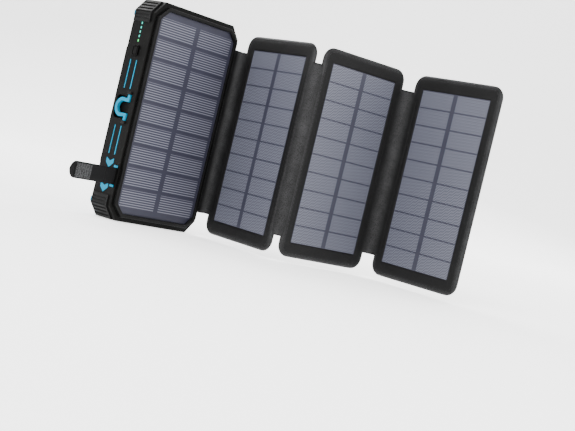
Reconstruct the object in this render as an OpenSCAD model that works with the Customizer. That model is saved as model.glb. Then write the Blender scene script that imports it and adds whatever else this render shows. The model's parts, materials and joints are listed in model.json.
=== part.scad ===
// Folding solar phone charger with a power bank, three fold-out solar panels,
// four captive charging leads, a hang loop, a closing strap and a lamp.
// Millimetres. +Z runs along the case from the cable end (z = 0) to the lamp end.
// The case's solar side faces -Y, its lead side faces +Y and the hinge side faces +X.
// The origin is the middle of the cable end, where the case stands.

/* [Case] */
// Width of the case across its long edges
case_w = 86.5; // [85.5:0.5:88]
// Length of the case from the cable end to the lamp end
case_l = 160; // [158:0.5:162]
// Thickness of the case with its bezel
case_t = 27; // [26:0.5:28]
// Thickness of the shell walls
wall = 2; // [1.8:0.1:2.2]
// Bevel where the lead side turns over to the edges
edge_bevel = 3; // [2.5:0.25:3.5]
// Corner cut measured across the case
corner_x = 8; // [7:0.5:9]
// Corner cut measured along the case
corner_z = 9.5; // [8.5:0.5:10]

/* [Solar side] */
// Width of the solar film on the case
film_w = 78; // [76:0.5:78.5]
// Length of the solar film on the case
film_l = 149; // [146:0.5:150]
// Thickness of the bezel around the film
bezel_t = 2.5; // [2.25:0.25:2.5]
// Width of the bezel's border
bezel_border = 2.25; // [2:0.25:2.5]

/* [Fold-out panels] */
// Width of one fold-out panel
panel_w = 81.5; // [80:0.5:82]
// Length of one fold-out panel
panel_l = 153; // [150:0.5:154]
// Thickness of one fold-out panel
panel_t = 4; // [3.75:0.25:4.25]
// Corner radius of a fold-out panel
panel_r = 9; // [7:0.5:10]
// Border of leather beside the panel's film
panel_side = 9; // [8:0.5:10]
// Border of leather above and below the panel's film
panel_end = 10.5; // [10:0.5:12]
// Width of the folds that bring two solar sides together
front_fold_w = 9; // [8:0.5:10]
// Width of the fold that brings two backs together
back_fold_w = 3.2; // [3:0.1:3.6]
// Length of the leather folds
fold_l = 126; // [118:1:130]
// Angle of the first panel to the case
fold_1 = 100; // [60:1:140]
// Angle of the second panel to the first
fold_2 = 91; // [60:1:120]
// Angle of the third panel to the second
fold_3 = 85; // [60:1:120]

/* [Leads] */
// Width of a flat lead
lead_w = 5; // [4.6:0.1:5.2]
// Thickness of a flat lead
lead_t = 2; // [1.8:0.1:2.2]
// Thickness of the moulded plug grips
grip_t = 6; // [5.5:0.25:6]
// Widths of the metal plug shells, from the hinge side
shell_w = [6.7, 8.3, 6.9, 12]; // [6:0.1:12]
// Thicknesses of the metal plug shells, from the hinge side
shell_t = [1.5, 2.6, 1.9, 2.2]; // [1.4:0.1:2.8]

/* [Lamp and controls] */
// Width of the lamp lens
lamp_w = 51; // [48:1:52]
// Height of the lamp lens
lamp_h = 12.5; // [11:0.5:13]
// Length of the power button
button_l = 7.6; // [7:0.2:8]
// Width of the power button
button_w = 6; // [5.6:0.2:6.4]
// Number of charge lights
light_count = 5; // [4:1:5]
// Spacing of the charge lights
light_pitch = 3.2; // [3:0.1:3.2]

/* [Hang loop and strap] */
// Outer radius of the hang loop
loop_r = 7; // [6.5:0.25:7.25]
// Thickness of the hang loop
loop_t = 2.4; // [2.2:0.1:2.4]
// Width of the closing strap
strap_w = 12; // [11:0.5:13]
// Thickness of the closing strap
strap_t = 1.6; // [1.4:0.1:1.7]
// Free length of the closing strap's outer part
strap_tip_l = 31; // [28:1:34]
// Angle by which the closing strap leans towards the solar side
strap_lean = 16; // [0:1:30]

/* [Hidden] */
$fn = 48;
// Running gap between pieces on different bodies
gap = 0.4;
// Seat gap between a piece and the pocket that holds it
seat = 0.1;
// Overshoot of a cutting shape past the face that it cuts
over = 1;

mid_z = case_l / 2;
half_w = case_w / 2;
front_y = -case_t / 2;
back_y = case_t / 2;
film_y = front_y + bezel_t;
split_y = film_y + 2 * wall;
cavity_low_y = back_y - 10;
cavity_high_y = back_y - wall;
bezel_w = film_w + 2 * bezel_border;
bezel_l = film_l + 2 * bezel_border;

// Lead side: pocket centres and widths from the hinge side to the strap side
pocket_x = [19.2, 6.4, -6.2, -19.2];
pocket_w = [10.6, 10.6, 10, 12.8];
pocket_z0 = 51;
recess_r = 5.4;
recess_z = 73.6;
rib_w = 1.3;
rib_gap = 0.35;
frame_depth = 1.2;
channel_w = lead_w + 2 * rib_gap;
lead_y = back_y - 0.4 - lead_t / 2;
channel_y = lead_y - lead_t / 2 - 0.2;
grip_y = back_y - 0.4 - grip_t / 2;
pocket_y = grip_y - grip_t / 2 - 0.3;
pivot_z = lead_t / 2 + 1.4;
well_z0 = 37;
well_z1 = 49;
grip_z0 = pocket_z0 + 1;
grip_w = [8.6, 9.6, 8.4, 12];
grip_l = [13, 13, 13, 9];
shell_l = [7, 7, 7, 11];

// Lead side: lamp, label and covers
lamp_z = 143.5;
lamp_x = 1;
lamp_ring = 1.6;
label_y = back_y - 0.7;
label_line = 1.2;
label_points = [[24.5, 89], [24.5, 134], [23.5, 135], [0, 131.2],
                [-23.5, 135], [-24.5, 134], [-24.5, 89], [0, 82.8]];
cover_t = 1.2;
cover_zc = [23, 139.5];
screw_zc = [18.5, 144];
screw_x = 35.5;
screw_r = 1.25;
boss_d = 6.4;
screw_head_r = 2.3;
screw_head_t = 1.8;
pad_t = 1.4;
pad_line = 1.5;

// Button side: everything is centred on side_y
side_y = split_y + 7.25;
side_x = -half_w;
button_zc = 121.8;
light_zc = 135.5;
light_l = 2.2;
light_w = 1.3;
line_len = 21;
line_zc = [mid_z - 23.5, mid_z + 24.5];
line_off = 3.2;
line_w = 0.9;
chevron_zc = [22, 31, 40];
loop_zc = mid_z + 0.5;
loop_pin_r = 1;
loop_pin_y = side_y - 4.9;
loop_x = side_x - 0.2;
loop_bar = 2.5;
anchor_l = 2.4;
anchor_zc = [loop_zc - 10.6, loop_zc + 10.6];
foot_reach = 9.3;
recess_depth = 2.6;
strap_zc = mid_z - 49;
strap_y = film_y + wall + 1;
strap_root_x = side_x - 1.8;
hook_t = 1;
loop_patch_t = 0.8;
wire_z = mid_z + 31.5;
// Reach past the folded stack and the two patches to the strap's second bend
strap_side_l = strap_y - front_y + 3 * (panel_t + gap) + loop_patch_t + hook_t + strap_t / 2 + gap;

// Fold-out panels
frame_t = 1.5;
board_t = 1.3;
leather_t = 1.1;
film_t = 0.8;
fold_gap = 0.15;
hinge_1 = [half_w + front_fold_w / 2, front_y - gap / 2, 0];

// ---------- Shared shapes ----------

// A slab between two Y planes; its outline is drawn in X and Z
module slab(y0, y1) translate([0, y1, 0]) rotate([90, 0, 0]) linear_extrude(y1 - y0) children();

// A slab between two X planes; its outline is drawn in Y and Z
module side_slab(x0, x1) translate([x0, 0, 0]) rotate([90, 0, 90]) linear_extrude(x1 - x0) children();

// Rectangle with cut corners, centred on the case
module cut_rect(w, l, cx, cz) translate([0, mid_z])
    polygon([[w/2, l/2 - cz], [w/2 - cx, l/2], [cx - w/2, l/2], [-w/2, l/2 - cz],
             [-w/2, cz - l/2], [cx - w/2, -l/2], [w/2 - cx, -l/2], [w/2, cz - l/2]]);

// Rectangle with round corners, centred
module round_rect(w, l, r) {
    square([w - 2 * r, l], center = true);
    square([w, l - 2 * r], center = true);
    for (sx = [-1, 1], sz = [-1, 1]) translate([sx * (w/2 - r), sz * (l/2 - r)]) circle(r);
}

module box(x0, x1, y0, y1, z0, z1) translate([x0, y0, z0]) cube([x1 - x0, y1 - y0, z1 - z0]);

module case_outline(inset = 0)
    cut_rect(case_w - 2 * inset, case_l - 2 * inset, corner_x - 0.4 * inset, corner_z - 0.4 * inset);

module at_pad_sides() { children(); mirror([1, 0, 0]) children(); }

// ---------- Case shells ----------

// Wedge that bevels one edge of the lead side: the edge passes p = [x, z] and the
// wall under it faces the given angle from +X towards +Z
module bevel_cutter(p, angle, b) translate([p[0], back_y - b, p[1]]) rotate([0, -angle, 0])
    rotate([0, 0, 45]) translate([0, -2 * over, -case_l]) cube([case_t, case_t, 2 * case_l]);

module bevel_cutters(b) {
    for (sx = [-1, 1]) bevel_cutter([sx * half_w, mid_z], 90 - 90 * sx, b);
    for (sz = [-1, 1]) bevel_cutter([0, mid_z + sz * mid_z], 90 * sz, b);
    for (sx = [-1, 1], sz = [-1, 1])
        bevel_cutter([sx * (half_w - corner_x / 2), mid_z + sz * (mid_z - corner_z / 2)],
                     90 - 90 * sx + sz * sx * atan2(corner_x, corner_z), b + 0.3);
}

// Back part of the case with bevel b along every edge of its lead side
module bevelled_body(b = edge_bevel) difference() {
    slab(split_y, back_y) case_outline();
    bevel_cutters(b);
}

module screw_places() for (sx = [-1, 1], z = screw_zc)
    translate([sx * screw_x, 0, z]) rotate([90, 0, 0]) children();

module cover_outline(inset = 0) for (z = cover_zc) translate([0, z])
    polygon([[32 + inset, 10 - 2 * inset], [32 + inset, 2 * inset - 10],
             [38.4 - inset, 1.4 * inset - 6.6], [38.4 - inset, 6.6 - 1.4 * inset]]);

module pad_outline(inset = 0)
    polygon([[half_w - edge_bevel, 37.5 + inset], [37.5, 37.5 + inset], [31.5 + inset, 46.5 + inset / 2],
             [31.5 + inset, mid_z + 36 - inset / 2], [37.5, mid_z + 45 - inset],
             [half_w - edge_bevel, mid_z + 45 - inset]]);

module channel_cuts() for (i = [0:3]) {
    // Groove for the flat lead and its ribs, over the bevel and down the cable end
    box(pocket_x[i] - channel_w / 2 - rib_w, pocket_x[i] + channel_w / 2 + rib_w,
        channel_y, back_y + over, -over, pocket_z0 - rib_w);
    box(pocket_x[i] - channel_w / 2, pocket_x[i] + channel_w / 2,
        channel_y, back_y + over, -over, pocket_z0 + over);
    slab(back_y - frame_depth, back_y + over) pocket_outline(rib_w);
    box(pocket_x[i] - channel_w / 2 - rib_w, pocket_x[i] + channel_w / 2 + rib_w,
        lead_y - 6.5, back_y + over, -over, pivot_z + lead_t / 2 + 0.3);
    // Deeper well under the lead, where a finger starts to lift it
    box(pocket_x[i] - channel_w / 2, pocket_x[i] + channel_w / 2,
        channel_y - 2.5, back_y, well_z0, well_z1);
    // Pocket for the plug, with a round finger recess past the plug's nose
    slab(pocket_y, back_y + over) pocket_outline();
}

// Hollow behind the hang loop, its feet and its two anchors
module side_recess() {
    side_slab(side_x - over, side_x + recess_depth)
        translate([side_y + 1.2, loop_zc]) round_rect(14, 17, 3);
    box(side_x - over, side_x + recess_depth, loop_pin_y - 1.9, loop_pin_y + 1.9,
        anchor_zc[0] - anchor_l / 2, anchor_zc[1] + anchor_l / 2);
}

module line_inlays(x0, x1) {
    for (z = line_zc, s = [-1, 1]) side_slab(x0, x1)
        translate([side_y + s * line_off, z]) square([line_w, line_len], center = true);
    for (z = chevron_zc) side_slab(x0, x1) translate([side_y, z])
        polygon([[-4, 3.2], [0, 1.1], [4, 3.2], [4, -0.2], [0, -3.8], [-4, -0.2]]);
}

module case_back_shell() color("#26282b") difference() {
    union() {
        difference() {
            bevelled_body();
            slab(split_y - over, cavity_low_y) case_outline(wall);
            difference() {
                slab(split_y - over, cavity_high_y) case_outline(wall);
                box(-half_w, half_w, split_y - over, back_y, -over, 84);
            }
        }
        screw_places() translate([0, 0, -cavity_high_y - 0.5])
            cylinder(d = boss_d, h = cavity_high_y + 0.5 - split_y);
        // Floor behind the hang loop's hollow
        box(side_x + wall - 0.2, side_x + recess_depth + 1.4, split_y, cavity_high_y + 0.2,
            loop_zc - 12, loop_zc + 12);
    }
    screw_places() translate([0, 0, -back_y - over]) cylinder(r = screw_r + 0.1, h = case_t);
    screw_places() translate([0, 0, -back_y - over])
        cylinder(r = screw_head_r + 0.2, h = over + cover_t + screw_head_t + 0.2);
    at_pad_sides() slab(back_y - cover_t, back_y + over) cover_outline();
    at_pad_sides() slab(back_y - pad_t + 0.3, back_y + over) pad_outline();
    channel_cuts();
    slab(label_y, back_y + over) polygon(label_points);
    // Lamp window, stepped for the ring
    translate([lamp_x, 0, lamp_z]) slab(cavity_high_y - over, back_y + over)
        round_rect(lamp_w, lamp_h, 4);
    translate([lamp_x, 0, lamp_z]) slab(back_y - 1, back_y + over)
        round_rect(lamp_w + 2 * lamp_ring, lamp_h + 2 * lamp_ring, 4 + lamp_ring);
    side_recess();
    line_inlays(side_x - over, side_x + 0.5);
    // Button and charge light windows
    side_slab(side_x - over, side_x + wall + over)
        translate([side_y, button_zc]) round_rect(button_w + 0.4, button_l + 0.4, 1.6);
    light_windows(side_x - over, side_x + wall + over);
}

module light_windows(x0, x1) for (i = [0:light_count - 1]) side_slab(x0, x1)
    translate([side_y, light_zc + (i - (light_count - 1) / 2) * light_pitch])
        round_rect(light_w + 0.2, light_l + 0.2, 0.6);

module case_front_shell() color("#2a2c2f") difference() {
    union() {
        slab(film_y, film_y + wall) case_outline();
        slab(film_y, split_y) difference() { case_outline(); case_outline(wall); }
        screw_places() translate([0, 0, -split_y]) cylinder(d = boss_d, h = split_y - film_y);
    }
    screw_places() translate([0, 0, -split_y - over]) cylinder(r = screw_r, h = over + 2 * wall - 0.8);
    // Groove for the gasket and the slot for the strap
    slab(split_y - 0.5, split_y + over) difference() { case_outline(0.6); case_outline(1.4); }
    box(side_x - over, side_x + wall + over, strap_y - strap_t / 2 - seat, strap_y + strap_t / 2 + seat,
        strap_zc - strap_w / 2 - seat, strap_zc + strap_w / 2 + seat);
    // Hole that passes the film's wires
    translate([0, 0, wire_z]) rotate([-90, 0, 0]) translate([0, 0, film_y - over])
        cylinder(r = 3, h = wall + 2 * over);
}

module case_gasket() color("#101010") difference() {
    slab(split_y - 0.5, split_y) difference() { case_outline(0.7); case_outline(1.3); }
    box(side_x - over, side_x + wall + over, split_y - over, split_y + over,
        strap_zc - strap_w / 2 - 0.5, strap_zc + strap_w / 2 + 0.5);
}

// ---------- Solar side of the case ----------

module front_bezel() color("#303235") difference() {
    slab(front_y, film_y) cut_rect(bezel_w, bezel_l, 8.4, 8.4);
    slab(front_y - over, film_y + over) cut_rect(film_w - 1, film_l - 1, 6.6, 6.6);
    slab(film_y - film_t - 0.1, film_y + over) cut_rect(film_w + 0.4, film_l + 0.4, 7, 7);
    // Rebate for the leather that runs under the bezel to the first fold
    box(bezel_w / 2 - 1.7, half_w, film_y - leather_t - 0.1, film_y + over,
        mid_z - fold_l / 2 - 0.2, mid_z + fold_l / 2 + 0.2);
}

module main_solar_film() color("#6b6d80") slab(film_y - film_t, film_y) cut_rect(film_w, film_l, 7, 7);

module film_wires() color("#b02020") for (s = [-1, 1]) translate([s * 1.2, 0, wire_z])
    rotate([-90, 0, 0]) translate([0, 0, film_y]) cylinder(r = 0.7, h = split_y + 0.8 - film_y);

// ---------- Corners ----------

module corner_ring(outer, inner) difference() { case_outline(-outer); case_outline(-inner); }

module corner_windows(x_reach, z_reach) for (sx = [-1, 1], sz = [0, 1])
    translate([sx * (half_w - x_reach / 2 + over), sz * case_l + (1 - 2 * sz) * (z_reach / 2)])
        square([x_reach + 2 * over, z_reach], center = true);

module corner_bumpers() color("#17181a") difference() {
    slab(split_y - 0.5, back_y - edge_bevel - 1) intersection() {
        corner_ring(1, 0);
        corner_windows(14, 17);
    }
    // Grooves across the edge that leave raised ribs
    slab(split_y + 0.5, back_y - edge_bevel - 2) intersection() {
        corner_ring(3, 0.4);
        for (z = [2.4:2.4:15], end = [0, 1]) translate([0, end * case_l + (1 - 2 * end) * z])
            square([case_w + 6, 1.1], center = true);
    }
}

// Bright skins on the bevels of the cut corners, with short tails along both edges
module corner_trims() color("#3fb4e0") intersection() {
    bevelled_body(edge_bevel - 1);
    bevel_cutters(edge_bevel);
    slab(0, back_y + over) corner_windows(11.5, 13);
}

// ---------- Lead side trim ----------

// Ribs beside each flat lead, running over the bevel and down the cable end, and the
// frame that carries them around the plug pockets and finger recesses
module channel_ribs() color("#2fa9e0") {
    for (i = [0:3], s = [-1, 1]) translate([pocket_x[i] + s * (channel_w / 2 + rib_w / 2), 0, 0])
        side_slab(-rib_w / 2, rib_w / 2)
            polygon([[lead_y - 6.5, 0.2], [back_y - edge_bevel + 0.2, 0.2], [back_y + 0.2, edge_bevel],
                     [back_y + 0.2, pocket_z0 - rib_w], [channel_y, pocket_z0 - rib_w],
                     [channel_y, pivot_z + lead_t / 2 + 0.3], [lead_y - 6.5, pivot_z + lead_t / 2 + 0.3]]);
    slab(back_y - frame_depth, back_y + 0.2) difference() {
        pocket_outline(rib_w);
        pocket_outline();
        for (i = [0:3]) translate([pocket_x[i] - channel_w / 2, pocket_z0 - 2]) square([channel_w, 3]);
    }
}

// Outline of the four plug pockets with their round finger recesses
module pocket_outline(grow = 0) for (i = [0:3]) {
    translate([pocket_x[i] - pocket_w[i] / 2 - grow, pocket_z0 - grow])
        square([pocket_w[i] + 2 * grow, recess_z - pocket_z0 + grow]);
    translate([pocket_x[i], recess_z]) circle(recess_r + grow);
}

module finger_trays() color("#1e9df0") for (i = [0:3]) difference() {
    translate([pocket_x[i], 0, recess_z]) rotate([-90, 0, 0])
        translate([0, 0, pocket_y]) cylinder(r = recess_r, h = back_y - pocket_y - frame_depth);
    translate([pocket_x[i], 0, recess_z]) rotate([-90, 0, 0])
        translate([0, 0, pocket_y + 0.8]) cylinder(r = recess_r - 0.8, h = back_y);
    box(pocket_x[i] - 8, pocket_x[i] + 8, pocket_y - over, back_y + over, pocket_z0, recess_z - 1.4);
}

// Textured pads: an inlay on the flat face that carries on over the bevel to the edge
module grip_pads() color("#1d1f21") {
    at_pad_sides() slab(back_y - pad_t + 0.3, back_y + 0.3) pad_outline(pad_line);
    intersection() {
        bevelled_body(edge_bevel - 0.5);
        bevel_cutters(edge_bevel - 0.03);
        at_pad_sides() slab(0, back_y + over)
            translate([half_w - edge_bevel, 37.5 + pad_line])
                square([edge_bevel, mid_z + 7.5 - 2 * pad_line]);
    }
}

module grip_pad_trims() color("#3fb4e0") at_pad_sides() slab(back_y - pad_t + 0.3, back_y + 0.1)
    difference() { pad_outline(); pad_outline(pad_line); }

module screw_covers() color("#222427") at_pad_sides() difference() {
    slab(back_y - cover_t, back_y + 0.1) cover_outline(seat);
    for (z = cover_zc, k = [-2:2])
        box(32.8, 37.6, back_y - 0.4, back_y + over, z + 2.4 * k - 0.4, z + 2.4 * k + 0.4);
}

module case_screws() color("#b8bcc0") screw_places() difference() {
    union() {
        translate([0, 0, cover_t + 0.1 - back_y]) cylinder(r = screw_head_r, h = screw_head_t);
        translate([0, 0, cover_t + 0.1 - back_y])
            cylinder(r = screw_r, h = back_y - cover_t - 0.1 - split_y + 1.8);
    }
    for (a = [0, 90]) rotate([0, 0, a])
        translate([-1.4, -0.35, cover_t - back_y - 0.2]) cube([2.8, 0.7, 1.3]);
}

module label_plate() color("#33363a") slab(label_y, label_y + 0.5)
    offset(delta = -label_line - seat) polygon(label_points);

module label_frame() color("#3fb4e0") slab(label_y, back_y + 0.1) difference() {
    polygon(label_points);
    offset(delta = -label_line) polygon(label_points);
}

// ---------- Lamp ----------

module lamp_lens() color("#f4fbff") translate([lamp_x, 0, lamp_z]) {
    slab(back_y - 1.45, back_y - 0.3) round_rect(lamp_w - 0.4, lamp_h - 0.4, 3.8);
    slab(back_y - 0.3, back_y + 0.3) round_rect(lamp_w - 3, lamp_h - 3, 3);
}

module lamp_ring() color("#2f9fd8") translate([lamp_x, 0, lamp_z]) slab(back_y - 1, back_y + 0.5)
    difference() {
        round_rect(lamp_w + 2 * lamp_ring - 0.2, lamp_h + 2 * lamp_ring - 0.2, 4 + lamp_ring);
        round_rect(lamp_w - 0.3, lamp_h - 0.3, 3.85);
    }

module lamp_board() color("#e8e8e0") {
    slab(cavity_high_y - 1.2, cavity_high_y)
        translate([lamp_x, lamp_z]) square([lamp_w + 3, 15], center = true);
    for (i = [-4:4]) slab(cavity_high_y, cavity_high_y + 0.5)
        translate([lamp_x + 5.5 * i, lamp_z]) square([2.8, 3.5], center = true);
}

// ---------- Inside the case ----------

module battery_cells() color("#c9ccd1") for (s = [-1, 1])
    slab(film_y + wall + 0.6, cavity_low_y - 0.6) translate([s * 17.8, 66]) round_rect(33, 86, 2);

module main_board() color("#1f6b3a") {
    difference() {
        slab(split_y + 1, split_y + 2.6) translate([-3, 133]) square([70, 38], center = true);
        screw_places() translate([0, 0, -back_y]) cylinder(r = 4, h = case_t);
    }
    for (k = [0:2]) slab(split_y + 2.6, split_y + 6)
        translate([-16 + 16 * k, 122]) square([9, 8], center = true);
    slab(split_y + 2.6, split_y + 4) translate([8, 138]) square([12, 12], center = true);
}

module button_switch() color("#8c8f94") {
    box(side_x + wall + 2.6, side_x + wall + 6, side_y - 2.4, side_y + 2.4, button_zc - 3, button_zc + 3);
    translate([side_x + wall + 1.9, side_y, button_zc]) rotate([0, 90, 0]) cylinder(r = 1.2, h = 0.7);
    box(side_x + wall + 4, side_x + wall + 6, split_y + 2.6, side_y - 2.4, button_zc - 3, button_zc + 3);
}

module charge_lights() color("#bff3ff") {
    light_prongs();
    box(side_x + wall + 0.2, side_x + wall + 1.1, side_y - 2.2, side_y + 2.2, light_zc - 8, light_zc + 8);
}

module light_prongs() for (i = [0:light_count - 1]) side_slab(side_x - 0.1, side_x + wall + 0.2)
    translate([side_y, light_zc + (i - (light_count - 1) / 2) * light_pitch])
        round_rect(light_w, light_l, 0.5);

// ---------- Button side ----------

module side_trim() color("#3fb4e0") {
    line_inlays(side_x - 0.1, side_x + 0.5);
    // Caps at both ends of the strap's slot
    for (s = [-1, 1]) box(side_x - 0.6, side_x, strap_y - 1.6, strap_y + 2.2,
                          strap_zc + s * (strap_w / 2 + 1) - 0.8, strap_zc + s * (strap_w / 2 + 1) + 0.8);
}

module power_button() color("#16181a") {
    side_slab(side_x - 1.1, side_x + wall + 0.4)
        translate([side_y, button_zc]) round_rect(button_w, button_l, 1.4);
    side_slab(side_x + wall + 0.4, side_x + wall + 1.2)
        translate([side_y, button_zc]) round_rect(button_w + 1.8, button_l + 1.8, 2);
}

module loop_anchors() color("#101214") for (z = anchor_zc) difference() {
    box(loop_x - loop_t / 2, side_x + recess_depth, loop_pin_y - 1.8, loop_pin_y + 1.8,
        z - anchor_l / 2 + seat, z + anchor_l / 2 - seat);
    translate([loop_x + 0.6, loop_pin_y, z - anchor_l]) cylinder(r = loop_pin_r + 0.05, h = 2 * anchor_l);
}

// The loop lies flat in its hollow; its feet end in pins that turn in the anchors
module hang_loop() color("#2fa9e0") {
    arch_y = side_y + 0.5;
    loop_inner = loop_r - loop_bar - 0.35;
    translate([loop_x + 0.6, loop_pin_y, 0]) for (s = [-1, 1])
        translate([0, 0, loop_zc + s * (foot_reach + 0.9) - 1.5]) cylinder(r = loop_pin_r, h = 3);
    side_slab(loop_x + 0.6 - loop_t / 2, loop_x + 0.6 + loop_t / 2) {
        translate([arch_y, loop_zc]) intersection() {
            difference() { circle(loop_r); circle(loop_r - loop_bar); }
            translate([-1.5, -loop_r]) square([2 * loop_r, 2 * loop_r]);
        }
        for (s = [-1, 1]) {
            translate([(loop_pin_y + arch_y - 1) / 2, loop_zc + s * (loop_r - loop_bar / 2 - 0.35)])
                square([arch_y - 1 - loop_pin_y, loop_bar], center = true);
            translate([loop_pin_y, loop_zc + s * (foot_reach + loop_inner) / 2])
                square([2.2, foot_reach - loop_inner], center = true);
        }
    }
}

// ---------- Strap ----------

// Clamp that holds the strap's end down inside the front shell
module strap_anchor() color("#55585c") difference() {
    box(side_x + wall + 0.3, side_x + wall + 4.8, film_y + wall, strap_y + strap_t / 2 + 1.4,
        strap_zc - strap_w / 2 - 1.2, strap_zc + strap_w / 2 + 1.2);
    box(side_x, side_x + wall + 6, film_y, strap_y + strap_t / 2 + 0.02,
        strap_zc - strap_w / 2 - 0.1, strap_zc + strap_w / 2 + 0.1);
}

// A length of strap from x0 to x1; an end with taper 1 comes to an edge, so that its
// neighbour can turn by 90 degrees about that end
module strap_length(x0, x1, taper0, taper1)
    translate([0, strap_y, strap_zc - strap_w / 2]) linear_extrude(strap_w)
        polygon([[x0, 0], [x0 + taper0 * strap_t / 2, -strap_t / 2],
                 [x1 - taper1 * strap_t / 2, -strap_t / 2], [x1, 0],
                 [x1 - taper1 * strap_t / 2, strap_t / 2], [x0 + taper0 * strap_t / 2, strap_t / 2]]);

module strap_root() color("#2b2c2e")
    strap_length(strap_root_x + fold_gap, side_x + wall + 4.6, 1, 0);

// Turns the strap's free lengths about the bend at its root
module lean_strap() translate([strap_root_x, strap_y, 0]) rotate([0, 0, strap_lean])
    translate([-strap_root_x, -strap_y, 0]) children();

module strap_side() color("#2b2c2e") lean_strap()
    strap_length(strap_root_x - strap_side_l + fold_gap, strap_root_x - fold_gap, 1, 1);

module strap_tip() color("#2b2c2e") lean_strap() {
    end_x = strap_root_x - strap_side_l;
    round_x = end_x - strap_tip_l + strap_w / 2;
    strap_length(round_x, end_x - fold_gap, 0, 1);
    slab(strap_y - strap_t / 2, strap_y + strap_t / 2) translate([round_x, strap_zc]) intersection() {
        circle(strap_w / 2);
        translate([-strap_w, -strap_w / 2]) square([strap_w + 0.5, strap_w]);
    }
}

module hook_patch() color("#77797c") lean_strap()
    box(strap_root_x - strap_side_l - strap_tip_l + 5, strap_root_x - strap_side_l - strap_tip_l + 23,
        strap_y - strap_t / 2 - hook_t, strap_y - strap_t / 2,
        strap_zc - strap_w / 2 + 1, strap_zc + strap_w / 2 - 1);

// ---------- Leads ----------

module lead_stubs() color("#191a1c") for (i = [0:3])
    box(pocket_x[i] - lead_w / 2, pocket_x[i] + lead_w / 2, lead_y - 6.5, lead_y - lead_t / 2 - 0.3,
        pivot_z - lead_t / 2, pivot_z + lead_t / 2);

module lead_cable(i) color("#191a1c") {
    box(pocket_x[i] - lead_w / 2, pocket_x[i] + lead_w / 2, lead_y - lead_t / 2, lead_y + lead_t / 2,
        pivot_z, grip_z0);
    translate([pocket_x[i] - lead_w / 2, lead_y, pivot_z]) rotate([0, 90, 0])
        cylinder(r = lead_t / 2, h = lead_w);
}

module lead_grip(i) color("#131415") difference() {
    translate([pocket_x[i], 0, 0]) slab(grip_y - grip_t / 2, grip_y + grip_t / 2) {
        translate([0, grip_z0 + grip_l[i] / 2 + 1]) round_rect(grip_w[i], grip_l[i] - 2, 1.2);
        translate([0, grip_z0 + 2]) square([lead_w + 1.6, 4], center = true);
    }
    // Finger grooves across the grip
    for (z = [grip_z0 + 3.2:2.4:grip_z0 + grip_l[i] - 2.4])
        box(pocket_x[i] - 3, pocket_x[i] + 3, grip_y + grip_t / 2 - 0.4, back_y + over, z, z + 1);
}

// Lead 1 ends in a solid blade with raised contacts, leads 2 and 3 in a hollow shell
// around a tongue, and lead 4 in a flat board with four contact strips
module lead_plug(i) {
    z0 = grip_z0 + grip_l[i];
    color(i == 3 ? "#17181a" : "#c4c8cc") difference() {
        translate([pocket_x[i], 0, z0 + shell_l[i] / 2])
            slab(grip_y - shell_t[i] / 2, grip_y + shell_t[i] / 2)
                round_rect(shell_w[i], shell_l[i], i == 0 ? 0.7 : 0.3);
        if (i == 1 || i == 2) box(pocket_x[i] - shell_w[i] / 2 + 0.4, pocket_x[i] + shell_w[i] / 2 - 0.4,
                                  grip_y - shell_t[i] / 2 + 0.35, grip_y + shell_t[i] / 2 - 0.35,
                                  z0 + 1, z0 + shell_l[i] + over);
    }
    color("#d9b24c") {
        if (i == 1 || i == 2) box(pocket_x[i] - shell_w[i] / 2 + 1.2, pocket_x[i] + shell_w[i] / 2 - 1.2,
                                  grip_y - 0.3, grip_y + 0.3, z0 + 0.5, z0 + shell_l[i] - 1);
        if (i == 0) for (k = [-3:3]) contact(i, 0.75 * k, 0.44, z0 + 3, 3.2);
        if (i == 3) for (k = [-1.5:1.5]) contact(i, 2.3 * k, 1.2, z0 + 1, abs(k) > 1 ? 8.4 : 6.6);
    }
}

// One raised contact strip on a plug's outer face
module contact(i, x, w, z, l)
    box(pocket_x[i] + x - w / 2, pocket_x[i] + x + w / 2, grip_y + shell_t[i] / 2 - 0.05,
        grip_y + shell_t[i] / 2 + 0.15, z, z + l);

// ---------- Folds and fold-out panels ----------

// Leather tongue under the bezel that ends at the first fold
module fold_anchor() color("#35363a") {
    box(bezel_w / 2 - 1.5, half_w - 0.4, film_y - leather_t, film_y,
        mid_z - fold_l / 2, mid_z + fold_l / 2);
    box(bezel_w / 2 + 0.1, hinge_1[0] - fold_gap, front_y, front_y + leather_t,
        mid_z - fold_l / 2, mid_z + fold_l / 2);
    box(bezel_w / 2 + 0.1, half_w - 0.4, front_y, film_y, mid_z - fold_l / 2, mid_z + fold_l / 2);
}

// Places its children with the panel's solar face on Y = 0, its back at Y = panel_t
// and its edge nearest the case on X = 0
module at_panel(n) {
    if (n == 1) translate(hinge_1) rotate([0, 0, -fold_1])
        translate([front_fold_w / 2, gap / 2, 0]) children();
    if (n == 2) at_panel(1) translate([panel_w + back_fold_w / 2, panel_t + gap / 2, 0])
        rotate([0, 0, fold_2]) translate([back_fold_w / 2, -panel_t - gap / 2, 0]) children();
    if (n == 3) at_panel(2) translate([panel_w + front_fold_w / 2, -gap / 2, 0])
        rotate([0, 0, -fold_3]) translate([front_fold_w / 2, gap / 2, 0]) children();
}

module panel_outline(inset = 0) translate([panel_w / 2, mid_z])
    round_rect(panel_w - 2 * inset, panel_l - 2 * inset, panel_r - inset);

module window_outline(grow = 0) translate([panel_w / 2, mid_z])
    square([panel_w - 2 * panel_side + 2 * grow, panel_l - 2 * panel_end + 2 * grow], center = true);

// Half of a leather fold, from the panel's edge out to the fold line
module fold_half(x0, x1, y0) translate([0, y0, 0])
    box(x0, x1, 0, leather_t, mid_z - fold_l / 2, mid_z + fold_l / 2);

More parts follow.
